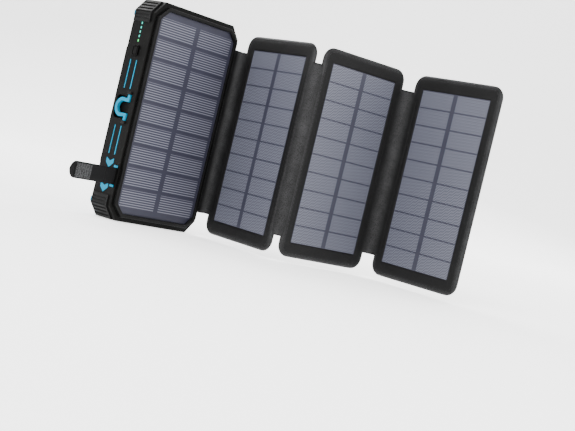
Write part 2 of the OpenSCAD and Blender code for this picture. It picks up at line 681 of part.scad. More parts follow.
module panel_frame(n) color("#3b3c3e") at_panel(n) {
    difference() {
        slab(0, frame_t) panel_outline();
        slab(-over, frame_t + over) window_outline();
        slab(frame_t - film_t, frame_t + over) window_outline(1);
    }
    if (n != 2) fold_half(fold_gap - front_fold_w / 2, 1, 0);
    if (n == 2) fold_half(panel_w - 1, panel_w + front_fold_w / 2 - fold_gap, 0);
}

module panel_film(n) color("#74768a") at_panel(n)
    slab(frame_t - film_t + 0.02, frame_t) window_outline(0.95);

module panel_board(n) color("#a89878") at_panel(n) slab(frame_t, frame_t + board_t) panel_outline(2.5);

module panel_cover(n) color("#343538") at_panel(n) {
    difference() {
        slab(frame_t, panel_t) panel_outline();
        slab(frame_t - over, frame_t + board_t) panel_outline(2.4);
    }
    if (n == 1) fold_half(panel_w - 1, panel_w + back_fold_w / 2 - fold_gap, panel_t - leather_t);
    if (n == 2) fold_half(fold_gap - back_fold_w / 2, 1, panel_t - leather_t);
}

module loop_patch() color("#2a2b2d") at_panel(3)
    box(panel_w - 26, panel_w - 5, panel_t, panel_t + loop_patch_t,
        strap_zc - strap_w / 2 - 1, strap_zc + strap_w / 2 + 1);

// ---------- Nodes ----------

case_back_shell();
case_front_shell();
case_gasket();
front_bezel();
main_solar_film();
corner_bumpers();
corner_trims();
channel_ribs();
finger_trays();
grip_pads();
grip_pad_trims();
screw_covers();
case_screws();
label_plate();
label_frame();
lamp_lens();
lamp_ring();
lamp_board();
battery_cells();
main_board();
button_switch();
charge_lights();
side_trim();
strap_anchor();
strap_root();
loop_anchors();
fold_anchor();
lead_stubs();
film_wires();
power_button();
hang_loop();
lead_cable(0);  // lead_1_cable
lead_grip(0);  // lead_1_grip
lead_plug(0);  // lead_1_plug
lead_cable(1);  // lead_2_cable
lead_grip(1);  // lead_2_grip
lead_plug(1);  // lead_2_plug
lead_cable(2);  // lead_3_cable
lead_grip(2);  // lead_3_grip
lead_plug(2);  // lead_3_plug
lead_cable(3);  // lead_4_cable
lead_grip(3);  // lead_4_grip
lead_plug(3);  // lead_4_plug
panel_frame(1);  // panel_1_frame
panel_film(1);  // panel_1_film
panel_board(1);  // panel_1_board
panel_cover(1);  // panel_1_cover
panel_frame(2);  // panel_2_frame
panel_film(2);  // panel_2_film
panel_board(2);  // panel_2_board
panel_cover(2);  // panel_2_cover
panel_frame(3);  // panel_3_frame
panel_film(3);  // panel_3_film
panel_board(3);  // panel_3_board
panel_cover(3);  // panel_3_cover
strap_side();
strap_tip();
hook_patch();
loop_patch();
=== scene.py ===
import json
import math

import bmesh
import bpy
import numpy as np
from mathutils import Matrix, Vector


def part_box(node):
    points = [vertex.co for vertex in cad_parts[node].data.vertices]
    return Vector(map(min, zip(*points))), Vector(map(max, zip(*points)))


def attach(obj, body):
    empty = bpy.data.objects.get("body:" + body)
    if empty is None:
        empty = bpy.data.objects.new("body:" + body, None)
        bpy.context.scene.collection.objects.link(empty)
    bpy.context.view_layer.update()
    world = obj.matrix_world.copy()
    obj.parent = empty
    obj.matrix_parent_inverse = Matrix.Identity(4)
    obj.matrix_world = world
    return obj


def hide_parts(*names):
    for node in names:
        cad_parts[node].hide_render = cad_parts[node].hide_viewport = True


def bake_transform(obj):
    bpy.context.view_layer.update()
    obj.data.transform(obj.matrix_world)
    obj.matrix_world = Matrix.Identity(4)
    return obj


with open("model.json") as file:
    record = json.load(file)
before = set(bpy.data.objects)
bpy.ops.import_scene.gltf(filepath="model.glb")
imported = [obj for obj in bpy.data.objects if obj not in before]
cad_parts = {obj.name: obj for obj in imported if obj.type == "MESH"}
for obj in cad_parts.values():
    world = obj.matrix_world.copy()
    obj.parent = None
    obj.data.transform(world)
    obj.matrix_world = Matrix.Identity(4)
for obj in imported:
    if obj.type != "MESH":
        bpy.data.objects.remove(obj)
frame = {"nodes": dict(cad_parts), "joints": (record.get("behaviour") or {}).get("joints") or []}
nodes, joints = frame["nodes"], {j["name"]: j for j in frame["joints"]}
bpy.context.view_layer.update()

MM = 0.001
# Sizes in millimetres, as in the part's source
PANEL_W, PANEL_L, PANEL_T, PANEL_R = 81.5, 153.0, 4.0, 9.0
SIDE, END = 9.0, 10.5  # leather beside a panel's film, and above and below it
FRONT_FOLD, BACK_FOLD, FOLD_LENGTH, LEATHER = 9.0, 3.2, 126.0, 1.1
HINGE_OFF = 0.2
MID_Z = 80.0
MID = (PANEL_W / 2, MID_Z)  # a panel's middle in its own X and Z
FILM_CUT = 7.0  # corner cut of the case's film
LIGHT_PITCH = 3.2
RIDGE_Y, RIDGE_Z, RIDGE_R = 2.1, 2.9, 0.9  # half sizes and corner of the ridge on the button's face
GROOVE_SIDE, GROOVE_END, GROOVE_R = 2.75, 2.8, 6.25  # a panel's stitched groove: margins and corner
RECESS_Z, RECESS_R = 73.6, 5.4
STRAP_TIP = 31.0
PATCH_SEAM = 0.98  # how far the patch's stitches lie off the strap's face

# ---------------------------------------------------------------- camera
# Placed by matching the photograph's panel corners; the picture is rolled, so the case leans in it.
PITCH, AZIMUTH, ROLL = math.radians(-1.97), math.radians(49.14), math.radians(-13.56)
EYE = Vector((-0.66175, -0.7103, 0.0646))
forward = Vector((math.sin(AZIMUTH) * math.cos(PITCH), math.cos(AZIMUTH) * math.cos(PITCH), math.sin(PITCH)))
level = forward.cross(Vector((0, 0, 1))).normalized()
upright = level.cross(forward)
up = upright * math.cos(ROLL) + level * math.sin(ROLL)
right = forward.cross(up)
camera = bpy.data.objects.new("camera", bpy.data.cameras.new("camera"))
bpy.context.scene.collection.objects.link(camera)
camera.matrix_world = Matrix((
    (right.x, up.x, -forward.x, EYE.x),
    (right.y, up.y, -forward.y, EYE.y),
    (right.z, up.z, -forward.z, EYE.z),
    (0, 0, 0, 1)))
camera.data.lens = 81.6
camera.data.sensor_width = 36
camera.data.clip_start, camera.data.clip_end = 0.01, 50
bpy.context.scene.camera = camera


# ---------------------------------------------------------------- meshes
def make(name, verts, faces, material, smooth=True, uv=None):
    """A mesh object from points in metres. uv, where it is given, holds one pair for each point."""
    mesh = bpy.data.meshes.new(name)
    mesh.from_pydata([tuple(v) for v in verts], [], [tuple(f) for f in faces])
    mesh.validate()
    shell = bmesh.new()
    shell.from_mesh(mesh)
    bmesh.ops.recalc_face_normals(shell, faces=shell.faces)
    shell.to_mesh(mesh)
    shell.free()
    mesh.update()
    mesh.materials.append(material)
    mesh.polygons.foreach_set("use_smooth", [smooth] * len(mesh.polygons))
    if uv is not None:
        layer = mesh.uv_layers.new(name="UVMap")
        for loop in mesh.loops:
            layer.data[loop.index].uv = uv[loop.vertex_index]
    obj = bpy.data.objects.new(name, mesh)
    bpy.context.scene.collection.objects.link(obj)
    return obj


def bridge(rows, cols, closed_u=True, closed_v=False, start=0):
    """Quads between rows of points; each row holds cols points."""
    faces = []
    for i in range(rows if closed_v else rows - 1):
        for j in range(cols if closed_u else cols - 1):
            a, b = i * cols + j, i * cols + (j + 1) % cols
            c, d = ((i + 1) % rows) * cols + (j + 1) % cols, ((i + 1) % rows) * cols + j
            faces.append((start + a, start + b, start + c, start + d))
    return faces


def modifier(obj, kind, **values):
    added = obj.modifiers.new(kind.lower(), kind)
    for key, value in values.items():
        setattr(added, key, value)


def soften(obj, width, angle, segments):
    """Rounds a moulded piece's edges, so that they catch the light."""
    modifier(obj, "WELD", merge_threshold=0.000004)
    modifier(obj, "BEVEL", width=width * MM, segments=segments, limit_method="ANGLE",
             angle_limit=math.radians(angle), use_clamp_overlap=True)
    modifier(obj, "WEIGHTED_NORMAL", keep_sharp=False)
    obj.data.polygons.foreach_set("use_smooth", [True] * len(obj.data.polygons))


def dress(node, material, width=0.25, angle=35, segments=2):
    """Gives a CAD node its material and soft edges."""
    obj = nodes[node]
    obj.data.materials.clear()
    obj.data.materials.append(material)
    obj.data.polygons.foreach_set("material_index", [0] * len(obj.data.polygons))
    if width:
        soften(obj, width, angle, segments)


def rounded_ring(half_x, half_z, radius, corner=7, side_x=8, side_z=14):
    """Points of a rounded rectangle in order, the same number for any size."""
    radius = max(0.02, min(radius, half_x - 0.01, half_z - 0.01))
    points = []
    for k, (sx, sz) in enumerate([(1, 1), (-1, 1), (-1, -1), (1, -1)]):
        cx, cz = sx * (half_x - radius), sz * (half_z - radius)
        for i in range(corner + 1):
            a = math.pi / 2 * (k + i / corner)
            points.append((cx + radius * math.cos(a), cz + radius * math.sin(a)))
        steps = side_x if k % 2 == 0 else side_z
        a = math.pi / 2 * (k + 1)
        x0, z0 = cx + radius * math.cos(a), cz + radius * math.sin(a)
        nx, nz = [(-1, 1), (-1, -1), (1, -1), (1, 1)][k]
        x1 = nx * (half_x - radius) + radius * math.cos(a)
        z1 = nz * (half_z - radius) + radius * math.sin(a)
        for i in range(1, steps):
            points.append((x0 + (x1 - x0) * i / steps, z0 + (z1 - z0) * i / steps))
    return points


def capsules(segments, radius, sides=6):
    """Rounded stitches: one short thread for each (start, end) pair, in millimetres."""
    verts, faces = [], []
    for a, b in segments:
        a, b = Vector(a), Vector(b)
        along = (b - a).normalized()
        side = along.orthogonal().normalized()
        other = along.cross(side)
        base = len(verts)
        for t, r in ((0, 0.35), (0.18, 0.85), (0.5, 1.0), (0.82, 0.85), (1, 0.35)):
            centre = a + (b - a) * t
            for k in range(sides):
                angle = 2 * math.pi * k / sides
                verts.append((centre + (side * math.cos(angle) + other * math.sin(angle)) * radius * r) * MM)
        faces += bridge(5, sides, start=base)
        faces.append(tuple(base + k for k in reversed(range(sides))))
        faces.append(tuple(base + 4 * sides + k for k in range(sides)))
    return verts, faces


# ---------------------------------------------------------------- materials
class Paint:
    """A node material around one Principled shader."""

    def __init__(self, name, color=(0.5, 0.5, 0.5), rough=0.5, metal=0.0, **sockets):
        self.material = bpy.data.materials.new(name)
        self.material.use_nodes = True
        self.tree = self.material.node_tree
        self.shader = self.tree.nodes["Principled BSDF"]
        self.shader.inputs["Base Color"].default_value = (*color, 1)
        self.shader.inputs["Roughness"].default_value = rough
        self.shader.inputs["Metallic"].default_value = metal
        for key, value in sockets.items():
            self.shader.inputs[key.replace("_", " ")].default_value = value
        self.material.diffuse_color = (*color, 1)

    def add(self, kind, **values):
        node = self.tree.nodes.new(kind)
        for key, value in values.items():
            setattr(node, key, value)
        return node

    def link(self, a, b):
        self.tree.links.new(a, b)

    def math(self, operation, a, b=None):
        node = self.add("ShaderNodeMath", operation=operation)
        for socket, value in zip(node.inputs, (a, b)):
            if value is None:
                continue
            if isinstance(value, (int, float)):
                socket.default_value = value
            else:
                self.link(value, socket)
        return node.outputs[0]

    def place(self, uv=False, scale=(1000, 1000, 1000)):
        """Coordinates in millimetres: the piece's own space, or its UV map."""
        source = self.add("ShaderNodeTexCoord").outputs["UV" if uv else "Object"]
        if uv:
            scale = (1, 1, 1)
        mapping = self.add("ShaderNodeMapping")
        mapping.inputs["Scale"].default_value = scale
        self.link(source, mapping.inputs["Vector"])
        return mapping.outputs["Vector"]

    def noise(self, vector, scale, detail=3.0, rough=0.5):
        node = self.add("ShaderNodeTexNoise")
        node.inputs["Scale"].default_value = scale
        node.inputs["Detail"].default_value = detail
        node.inputs["Roughness"].default_value = rough
        self.link(vector, node.inputs["Vector"])
        return node.outputs["Fac"]

    def cells(self, vector, scale, feature, random):
        node = self.add("ShaderNodeTexVoronoi", feature=feature)
        node.inputs["Scale"].default_value = scale
        node.inputs["Randomness"].default_value = random
        self.link(vector, node.inputs["Vector"])
        return node.outputs["Distance"]

    def mix(self, factor, a, b):
        node = self.add("ShaderNodeMix", data_type="RGBA")
        for socket, value in ((node.inputs["Factor"], factor), (node.inputs[6], a), (node.inputs[7], b)):
            if isinstance(value, (int, float)):
                socket.default_value = value
            elif isinstance(value, tuple):
                socket.default_value = (*value, 1)
            else:
                self.link(value, socket)
        return node.outputs[2]

    def span(self, value, low, high, out_low, out_high):
        node = self.add("ShaderNodeMapRange")
        for key, number in zip(("From Min", "From Max", "To Min", "To Max"), (low, high, out_low, out_high)):
            node.inputs[key].default_value = number
        self.link(value, node.inputs["Value"])
        return node.outputs["Result"]

    def color(self, value):
        self.link(value, self.shader.inputs["Base Color"])

    def shine(self, color, strength):
        """The surface has this colour and gives off light of it."""
        self.color(color)
        self.link(color, self.shader.inputs["Emission Color"])
        self.shader.inputs["Emission Strength"].default_value = strength

    def roughness(self, value):
        self.link(value, self.shader.inputs["Roughness"])

    def bump(self, value, strength, distance):
        node = self.add("ShaderNodeBump")
        node.inputs["Strength"].default_value = strength
        node.inputs["Distance"].default_value = distance * MM
        self.link(value, node.inputs["Height"])
        self.link(node.outputs["Normal"], self.shader.inputs["Normal"])

    def from_middle(self, value):
        """How far a repeating value is from the middle of its turn, from 0 to 0.5."""
        return self.math("ABSOLUTE", self.math("SUBTRACT", self.math("FRACT", value), 0.5))

    def axis(self, vector, index):
        node = self.add("ShaderNodeSeparateXYZ")
        self.link(vector, node.inputs[0])
        return node.outputs[index]


def rgb(code):
    """Scene-linear colour from a hex code."""
    values = [int(code[i:i + 2], 16) / 255 for i in (0, 2, 4)]
    return tuple(v / 12.92 if v <= 0.04045 else ((v + 0.055) / 1.055) ** 2.4 for v in values)


def moulded(name, dark, light, rough=(0.38, 0.55), grain=2.2, strength=0.25, cloud=0.05, **sockets):
    """Moulded plastic or rubber: fine spark-eroded grain, slow colour drift and uneven gloss."""
    sockets.setdefault("Specular_IOR_Level", 0.2)
    p = Paint(name, rgb(dark), rough[0], **sockets)
    place = p.place()
    drift = p.noise(place, cloud, 4, 0.6)
    fine = p.noise(place, grain, 2, 0.6)
    p.color(p.mix(p.span(p.math("ADD", p.math("MULTIPLY", drift, 0.7), p.math("MULTIPLY", fine, 0.3)),
                         0.35, 0.65, 0, 1), rgb(dark), rgb(light)))
    p.roughness(p.span(drift, 0.3, 0.7, rough[0], rough[1]))
    p.bump(fine, strength, 0.06)
    return p.material


# A fold's U runs from 0 to FOLD_U across the bend, and its inner face is FOLD_INNER further on
FOLD_U, FOLD_INNER = 20, 40


def leather(name, dark, light, highlight_color, uv=False, rough=(0.5, 0.68)):
    """Grained leather: pebbles with creases between them. A painted highlight lightens it along the lit rim
    of a panel, or, on a UV-mapped fold, over the lit middle of the bend."""
    p = Paint(name, rgb(dark), rough[0], Specular_IOR_Level=0.16)
    place = p.place(uv)
    if uv:
        # Painted highlight: lighter over the middle of a fold's bend, or along a panel's rim, where the light
        # falls
        across = p.math("MODULO", p.axis(place, 0), FOLD_INNER)
        off = p.math("ABSOLUTE", p.math("SUBTRACT", across, FOLD_U / 2))
        painted_highlight = p.span(off, 1.0, 7.5, 1, 0)
    else:
        beside = p.math("ABSOLUTE", p.math("SUBTRACT", p.axis(place, 0), MID[0]))
        above = p.math("ABSOLUTE", p.math("SUBTRACT", p.axis(place, 2), MID[1]))
        off = p.math("MINIMUM", p.math("SUBTRACT", PANEL_W / 2, beside),
                     p.math("SUBTRACT", PANEL_L / 2, above))
        painted_highlight = p.span(off, 0.6, 4.2, 1, 0)
    pebble = p.cells(place, 1.1, "F1", 0.9)
    crease = p.span(p.cells(place, 1.1, "DISTANCE_TO_EDGE", 0.9), 0.0, 0.16, 0, 1)
    soft = p.noise(place, 0.06, 5, 0.62)
    tone = p.math("ADD", p.math("MULTIPLY", soft, 0.75), p.math("MULTIPLY", crease, 0.25))
    tone = p.span(tone, 0.35, 0.85, 0, 1)
    p.color(p.mix(painted_highlight, p.mix(tone, rgb(dark), rgb(light)), p.mix(tone, rgb(light), rgb(highlight_color))))
    p.roughness(p.span(soft, 0.3, 0.7, rough[0], rough[1]))
    height = p.math("SUBTRACT", crease, p.math("MULTIPLY", pebble, 0.35))
    p.bump(height, 0.35, 0.08)
    return p.material


def webbing(name, dark, light):
    """Woven strap: crossed ribs with a little thread noise."""
    p = Paint(name, rgb(dark), 0.7, Specular_IOR_Level=0.12)
    place = p.place(uv=True)
    u, v = p.axis(place, 0), p.axis(place, 1)
    ribs = p.math("MULTIPLY", p.math("SINE", p.math("MULTIPLY", u, 2 * math.pi / 0.8)),
                  p.math("SINE", p.math("MULTIPLY", v, 2 * math.pi / 0.9)))
    fuzz = p.noise(place, 3.0, 3, 0.7)
    tone = p.math("ADD", p.span(ribs, -1, 1, 0, 0.7), p.math("MULTIPLY", fuzz, 0.4))
    p.color(p.mix(p.span(tone, 0.1, 1.0, 0, 1), rgb(dark), rgb(light)))
    p.roughness(p.span(fuzz, 0.3, 0.7, 0.6, 0.8))
    p.bump(tone, 0.4, 0.12)
    return p.material


def hooks(name, dark, light, scale=1.25):
    """Hook or loop tape: rows of tiny raised tufts."""
    p = Paint(name, rgb(dark), 0.85, Specular_IOR_Level=0.15)
    place = p.place()
    tufts = p.cells(place, scale, "F1", 0.55)
    fuzz = p.noise(place, 4.0, 3, 0.8)
    tone = p.math("ADD", p.span(tufts, 0.0, 0.7, 1, 0), p.math("MULTIPLY", fuzz, 0.45))
    p.color(p.mix(p.span(tone, 0.25, 1.2, 0, 1), rgb(dark), rgb(light)))
    p.roughness(p.span(fuzz, 0.3, 0.7, 0.75, 0.95))
    p.bump(tone, 0.8, 0.35)
    return p.material


def metal(name, color, light, rough=(0.2, 0.34)):
    """Plated metal with faint brushing."""
    p = Paint(name, rgb(color), rough[0], 1.0)
    lines = p.noise(p.place(scale=(400, 400, 6000)), 1.0, 3, 0.6)
    cloud = p.noise(p.place(), 0.35, 3, 0.5)
    p.color(p.mix(p.span(cloud, 0.35, 0.65, 0, 1), rgb(color), rgb(light)))
    p.roughness(p.span(lines, 0.3, 0.7, rough[0], rough[1]))
    p.bump(lines, 0.06, 0.03)
    return p.material


def diamonds(name, dark, light, pitch_x, pitch_z):
    """Grip pad: small raised diamonds with grooves between them."""
    p = Paint(name, rgb(dark), 0.6, Specular_IOR_Level=0.1)
    place = p.place()
    x = p.math("MULTIPLY", p.axis(place, 0), 1 / pitch_x)
    z = p.math("MULTIPLY", p.axis(place, 2), 1 / pitch_z)
    off = p.math("MAXIMUM", *(p.from_middle(p.math(way, x, z)) for way in ("ADD", "SUBTRACT")))
    raised = p.span(off, 0.28, 0.46, 1, 0)
    fuzz = p.noise(place, 2.5, 2, 0.6)
    tone = p.math("MULTIPLY", raised, p.span(fuzz, 0.2, 0.8, 0.75, 1))
    p.color(p.mix(tone, rgb(dark), rgb(light)))
    p.roughness(p.span(tone, 0, 1, 0.75, 0.45))
    p.bump(raised, 0.9, 0.3)
    return p.material


# Solar films: width of a light finger, and the length of one wave where the fingers zigzag
FINGER_W, SAW_PITCH = 0.42, 5.2


def film(name, half_x, half_z, column_gap, margin_x, margin_z, rows, row_gap, finger, slant, colors):
    """Laminated solar film: two columns of cells in rows, each crossed by fine light fingers.
    The film's middle is the origin of the piece's own space, with X across and Z along."""
    ground, cell, line = (rgb(c) for c in colors)
    p = Paint(name, ground, 0.42, Specular_IOR_Level=0.25, Coat_Weight=0.06, Coat_Roughness=0.3)
    place = p.place()
    x, z = p.axis(place, 0), p.axis(place, 2)
    off_x, off_z = p.math("ABSOLUTE", x), p.math("ABSOLUTE", z)

    def below(value, limit, soft=0.12):
        return p.span(value, limit - soft, limit + soft, 1, 0)

    across = p.math("MULTIPLY", p.math("SUBTRACT", 1, below(off_x, column_gap / 2)),
                    below(off_x, half_x - margin_x))
    reach = 2 * (half_z - margin_z) + row_gap
    pitch = reach / rows
    row = p.math("MULTIPLY", p.from_middle(p.math("MULTIPLY", p.math("ADD", z, reach / 2), 1 / pitch)), pitch)
    along = p.math("MULTIPLY", below(row, (pitch - row_gap) / 2), below(off_z, half_z - margin_z))
    inside = p.math("MULTIPLY", across, along)
    wave = z
    if slant:
        saw = p.from_middle(p.math("MULTIPLY", x, 1 / SAW_PITCH))
        wave = p.math("ADD", z, p.math("MULTIPLY", saw, slant))
    turn = p.from_middle(p.math("MULTIPLY", p.math("ADD", wave, (reach - row_gap) / 2), 1 / finger))
    off = p.math("MULTIPLY", turn, finger)
    lines = p.math("MULTIPLY", p.span(off, FINGER_W / 2 - 0.05, FINGER_W / 2 + 0.12, 1, 0), inside)
    mottle = p.noise(place, 0.05, 4, 0.6)
    grain = p.noise(place, 1.6, 3, 0.7)
    tint = p.math("ADD", p.math("MULTIPLY", mottle, 0.6), p.math("MULTIPLY", grain, 0.4))
    base = p.mix(inside, ground, cell)
    base = p.mix(p.span(tint, 0.35, 0.65, 0, 0.35), base, tuple(c * 1.35 for c in cell))
    p.color(p.mix(lines, base, line))
    p.roughness(p.span(lines, 0, 1, 0.45, 0.34))
    p.bump(p.math("ADD", p.math("MULTIPLY", lines, 0.6), p.math("MULTIPLY", inside, 0.4)), 0.25, 0.05)
    return p.material


def glow(name, color, strength, dim):
    """Lit plastic: a diffuser that is a little brighter in places."""
    p = Paint(name, rgb(color), 0.35)
    cloud = p.span(p.noise(p.place(), 0.12, 3, 0.5), 0.3, 0.7, 0, 1)
    p.shine(p.mix(cloud, tuple(c * dim for c in rgb(color)), rgb(color)), strength)
    return p.material


case_plastic = moulded("case_plastic", "040404", "090908", (0.45, 0.6), 1.8, 0.3, Specular_IOR_Level=0.08)
bezel_plastic = moulded("bezel_plastic", "060606", "0c0c0c", (0.34, 0.46), 1.6, 0.15, Specular_IOR_Level=0.12)
rubber = moulded("black_rubber", "070707", "0e0e0e", (0.5, 0.7), 2.6, 0.35, Specular_IOR_Level=0.14)
cyan = moulded("cyan_plastic", "006c8a", "0080a2", (0.3, 0.42), 1.6, 0.12, Specular_IOR_Level=0.05)
blue = moulded("blue_plastic", "0050bc", "007ae0", (0.2, 0.3), 1.2, 0.06, Specular_IOR_Level=0.15,
               Coat_Weight=0.25, Coat_Roughness=0.08)
pad = diamonds("grip_pad", "040404", "303030", 1.4, 2.0)
cover = diamonds("cover_texture", "060606", "303030", 1.1, 1.1)
jacket = moulded("lead_jacket", "050505", "0b0b0b", (0.45, 0.6), 2.4, 0.2, Specular_IOR_Level=0.1)
label_skin = moulded("label_skin", "060607", "0b0b0c", (0.38, 0.5), 2.0, 0.1, Specular_IOR_Level=0.08)
print_ink = moulded("label_ink", "8a8d91", "a6a9ac", (0.5, 0.6), 3.0, 0.1)
# Darker and duller than the case: painted shade for the groove round the power button
painted_groove_shade = moulded("painted_groove_shade", "010101", "030303", (0.6, 0.75), 2.6, 0.2, Specular_IOR_Level=0.02)
nickel = metal("nickel_plating", "c6c9cc", "e6e8ea")
steel = metal("screw_steel", "70747a", "9aa0a6")
lens = glow("lamp_lens", "f2faff", 7.0, 0.85)
# The third colour of each is the painted highlight on a panel's lit rim and a fold's lit bend
hide = leather("panel_leather", "050505", "0d0d0e", "363637")
hide_bend = leather("fold_leather", "050505", "0d0d0e", "343435", uv=True)
strap_skin = webbing("strap_weave", "060607", "111112")
hook = hooks("hook_tape", "1c1c1d", "5a5b5c")
loops = hooks("loop_tape", "0e0f10", "2a2b2d", 1.6)
thread = moulded("stitch_thread", "161617", "232324", (0.6, 0.75), 4.0, 0.5)
board_green = moulded("circuit_board", "164d2a", "1f6b3a", (0.4, 0.5), 1.2, 0.2)
foil = moulded("cell_foil", "9a9da1", "c9ccd1", (0.3, 0.45), 0.8, 0.2, 0.05)
white_board = moulded("white_board", "c8c9c4", "e8e8e0", (0.4, 0.5), 1.4, 0.15)
wire_skin = moulded("wire_skin", "7a1414", "b02020", (0.4, 0.5), 3.0, 0.2)

CASE_COLORS = ("262632", "2c2d39", "70707b")
PANEL_COLORS = ("252531", "31323c", "60626d")
panel_film = film("panel_film", PANEL_W / 2 - SIDE, PANEL_L / 2 - END, column_gap=4.0, margin_x=0.7,
                  margin_z=0.7, rows=10, row_gap=1.1, finger=13.17 / 12, slant=1.4, colors=PANEL_COLORS)


# ---------------------------------------------------------------- case
dress("case_back_shell", case_plastic, 0.35, 30)
dress("case_front_shell", case_plastic, 0.3, 30)
dress("case_gasket", rubber, 0)
dress("front_bezel", bezel_plastic, 0.5, 30, 3)
dress("corner_bumpers", rubber, 0.2, 30)
dress("corner_trims", cyan, 0.2, 30)
dress("channel_ribs", cyan, 0.25, 30)
dress("grip_pads", pad, 0.15, 40)
dress("grip_pad_trims", cyan, 0.15, 30)
dress("screw_covers", cover, 0.15, 30)
dress("case_screws", steel, 0.1, 40)
dress("label_plate", label_skin, 0.1, 30)
dress("label_frame", cyan, 0.2, 30)
dress("lamp_lens", lens, 0.3, 30)
dress("lamp_ring", cyan, 0.25, 40)
dress("lamp_board", white_board, 0)
dress("battery_cells", foil, 0.3)
dress("main_board", board_green, 0)
dress("button_switch", steel, 0)
dress("side_trim", cyan, 0.15, 30)
dress("strap_anchor", steel, 0)
dress("strap_root", strap_skin, 0)
dress("loop_anchors", rubber, 0.2)
dress("fold_anchor", hide, 0.2)
dress("lead_stubs", jacket, 0)
dress("film_wires", wire_skin, 0)
dress("power_button", case_plastic, 0.5, 30, 3)
dress("hang_loop", cyan, 0.5, 35, 3)


def lit_bar():
    """Light guides: the one next to the button is green, and the rest are turquoise."""
    lo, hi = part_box("charge_lights")
    middle = (lo.z + hi.z) / 2 / MM
    p = Paint("charge_light", rgb("3fdcc0"), 0.3)
    place = p.place()
    y, z = p.axis(place, 1), p.axis(place, 2)
    off = p.from_middle(p.math("MULTIPLY", p.math("SUBTRACT", z, middle - LIGHT_PITCH / 2), 1 / LIGHT_PITCH))
    aside = p.math("ABSOLUTE", p.math("SUBTRACT", y, (lo.y + hi.y) / 2 / MM))
    dot = p.math("MULTIPLY", p.span(off, 0.16, 0.27, 1, 0), p.span(aside, 0.35, 0.65, 1, 0))
    cloud = p.span(p.noise(place, 0.8, 2, 0.5), 0.3, 0.7, 0.6, 1)
    green_end = middle - 1.5 * LIGHT_PITCH
    shade = p.mix(p.span(z, green_end - 0.1, green_end + 0.1, 1, 0), rgb("18c8b4"), rgb("1cd860"))
    shade = p.mix(p.math("MULTIPLY", dot, cloud), rgb("01201c"), shade)
    p.shine(shade, 1.0)
    return p.material


dress("charge_lights", lit_bar(), 0.12)


def button_ring():
    """A low ridge that follows the button's outline on its face, near-black and dull: painted shade for the
    groove round the button.
    """
    lo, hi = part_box("power_button")
    face, y0, z0 = lo.x / MM, (lo.y + hi.y) / 2 / MM, (lo.z + hi.z) / 2 / MM
    verts = []
    for grow, rise in ((0.38, -0.02), (0.3, 0.08), (-0.3, 0.08), (-0.38, -0.02)):
        for y, z in rounded_ring(RIDGE_Y + grow, RIDGE_Z + grow, RIDGE_R + grow, side_x=3, side_z=3):
            verts.append(((face - rise) * MM, (y0 + y) * MM, (z0 + z) * MM))
    return make("button_ring", verts, bridge(4, len(verts) // 4, closed_v=True), painted_groove_shade)


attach(button_ring(), "button")

# ---------------------------------------------------------------- solar film on the case
lo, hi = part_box("main_solar_film")
half = Vector(((hi.x - lo.x) / 2, 0, (hi.z - lo.z) / 2)) / MM
case_film = film("case_film", half.x, half.z, column_gap=4.4, margin_x=3.0, margin_z=5.4,
                 rows=9, row_gap=2.6, finger=15.65 / 9, slant=0, colors=CASE_COLORS)
in_x, in_z = half.x - FILM_CUT, half.z - FILM_CUT
outline = [(half.x, in_z), (in_x, half.z), (-in_x, half.z), (-half.x, in_z),
           (-half.x, -in_z), (-in_x, -half.z), (in_x, -half.z), (half.x, -in_z)]


def plate(name, points, depths, material):
    """A thin plate whose front edge is eased; points are its outline in X and Z."""
    verts, n = [], len(points)
    for shrink, y in depths:
        for x, z in points:
            length = math.hypot(x, z)
            verts.append(((x - x / length * shrink) * MM, y * MM, (z - z / length * shrink) * MM))
    faces = bridge(len(depths), n)
    faces.append(tuple(range(n))[::-1])
    faces.append(tuple((len(depths) - 1) * n + k for k in range(n)))
    return make(name, verts, faces, material, smooth=False)


thick = (hi.y - lo.y) / MM
case_sheet = plate("case_solar_sheet", outline, [(0.3, 0), (0, 0.12), (0, thick)], case_film)
case_sheet.location = ((lo.x + hi.x) / 2, lo.y, (lo.z + hi.z) / 2)
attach(case_sheet, "case")
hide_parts("main_solar_film")

# ---------------------------------------------------------------- fold-out panels


def joint_axis(name):
    """The joint's axis point (x, y) in millimetres."""
    x, y, _ = joints[name]["pos_m"]
    return Vector((x, y)) / MM


def turned(degrees, x, y):
    a = math.radians(degrees)
    return Vector((x * math.cos(a) - y * math.sin(a), x * math.sin(a) + y * math.cos(a)))


def panel_places():
    """Each panel's corner (its case-side edge on the solar face) and direction, from the joints' rest
    angles. A panel lies HINGE_OFF clear of the plane through its hinge."""
    angle, places = 0.0, []
    for name, offset, sign in (
            ("fold_1", (FRONT_FOLD / 2, HINGE_OFF), -1),
            ("fold_2", (BACK_FOLD / 2, -PANEL_T - HINGE_OFF), 1),
            ("fold_3", (FRONT_FOLD / 2, HINGE_OFF), -1)):
        angle += sign * REST[name]
        places.append((AXES[name] + turned(angle, *offset), angle))
    return places


REST = {name: -joints[name]["range_deg"][0] for name in ("fold_1", "fold_2", "fold_3")}
AXES = {name: joint_axis(name) for name in REST}
PLACES = panel_places()


def panel_matrix(n):
    corner, angle = PLACES[n - 1]
    turn = Matrix.Rotation(math.radians(angle), 4, "Z")
    return Matrix.Translation((corner.x * MM, corner.y * MM, 0)) @ turn


def soft_noise(x, z, seed):
    """Slow, repeatable unevenness between -1 and 1."""
    return (math.sin(x * 0.11 + seed) * math.cos(z * 0.07 + 2.3 * seed)
            + 0.5 * math.sin(x * 0.31 + 1.7 * seed + z * 0.05) * math.cos(z * 0.23 - seed)) / 1.5


